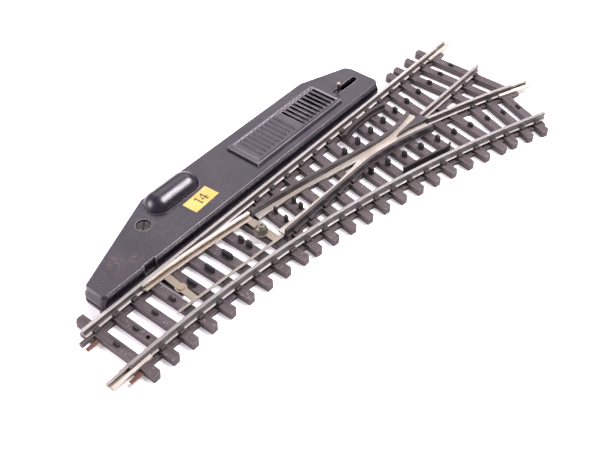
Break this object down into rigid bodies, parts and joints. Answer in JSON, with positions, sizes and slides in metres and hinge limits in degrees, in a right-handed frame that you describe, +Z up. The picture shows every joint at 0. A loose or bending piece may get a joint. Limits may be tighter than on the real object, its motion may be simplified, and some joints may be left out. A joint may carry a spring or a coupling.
{
  "type": "model railway turnout",
  "caption": "Right-hand electric turnout for centre-stud model track: moulded ties, metal rails, pivoting point blades and a flat side motor housing with a hand lever.",
  "frame": {"origin": "middle of the straight route at the toe end of the track, on the plane the ties stand on", "axes": "+X along the straight route away from the toe, +Y to the side of the motor housing, +Z up"},
  "size_m": [0.1837, 0.0766, 0.011],
  "materials": {
    "tie_plastic": "satin, moulded wood grain",
    "guide_plastic": "satin",
    "check_plastic": "satin",
    "slide_plate": "satin",
    "rail_metal": "satin, head worn bright",
    "blade_metal": "satin, warm tarnish",
    "contact_plate": "satin",
    "joiner_metal": "satin",
    "stud_steel": "darkened, tips worn bright",
    "tongue_copper": "tarnished copper",
    "knob_metal": "satin",
    "base_plastic": "satin",
    "cover_plastic": "gloss, lightly worn",
    "vent_plastic": "gloss",
    "screw_steel": "darkened",
    "label_paper": "paper sticker",
    "bobbin_plastic": "matte",
    "winding_copper": "enamelled wire",
    "yoke_steel": "satin",
    "spring_steel": "satin",
    "terminal_brass": "satin",
    "rod_plastic": "satin",
    "pin_steel": "satin",
    "lever_metal": "satin"
  },
  "bodies": {
    "track": {"tie_bed": "tie_plastic", "rail_chairs": "tie_plastic", "slide_plates": "slide_plate", "stock_rail_straight": "rail_metal", "stock_rail_curved": "rail_metal", "exit_rail_straight": "rail_metal", "exit_rail_diverging": "rail_metal", "closure_guide_left": "guide_plastic", "closure_guide_right": "guide_plastic", "frog_nose": "guide_plastic", "frog_contact_plate": "contact_plate", "check_rail_left": "guide_plastic", "check_rail_right": "check_plastic", "rail_joiner_toe": "joiner_metal", "rail_joiner_straight": "joiner_metal", "rail_joiner_diverging": "joiner_metal", "centre_studs": "stud_steel", "contact_tongue_left": "tongue_copper", "contact_tongue_right": "tongue_copper", "pivot_knob": "knob_metal", "motor_base": "base_plastic", "motor_cover": "cover_plastic", "vent_panel": "vent_plastic", "cover_screw": "screw_steel", "number_label": "label_paper", "coil_bobbin_near": "bobbin_plastic", "coil_bobbin_far": "bobbin_plastic", "coil_winding_near": "winding_copper", "coil_winding_far": "winding_copper", "coil_yoke": "yoke_steel", "detent_spring": "spring_steel", "spring_post": "base_plastic", "terminal_block": "base_plastic", "terminals": "terminal_brass"},
    "blade_frame": {"blade_left": "blade_metal", "blade_right": "blade_metal", "stretcher_bar": "blade_metal", "heel_plate": "blade_metal", "heel_skirt": "blade_metal"},
    "throw": {"throw_rod": "rod_plastic", "drive_pin": "pin_steel", "cam_pin": "pin_steel"},
    "lever": {"plunger": "yoke_steel", "lever_slider": "rod_plastic", "lever_pin": "lever_metal", "cam_link": "rod_plastic"}
  },
  "joints": [
    {"name": "lever_slide", "type": "slide", "parent": "track", "child": "lever", "axis": [1, 0, 0], "range_m": [0, 0.0075]},
    {"name": "throw_slide", "type": "slide", "parent": "track", "child": "throw", "axis": [0, -1, 0], "range_m": [0, 0.00256]},
    {"name": "blade_swing", "type": "hinge", "parent": "track", "child": "blade_frame", "pos_m": [0.05825, -0.0026, 0], "axis": [0, 0, 1], "range_deg": [0, 4.8]}
  ],
  "couplings": [
    {"joint": "throw_slide", "follows": "lever_slide", "ratio": 0.34133},
    {"joint": "blade_swing", "follows": "lever_slide", "rad_per_m": 11.17}
  ]
}
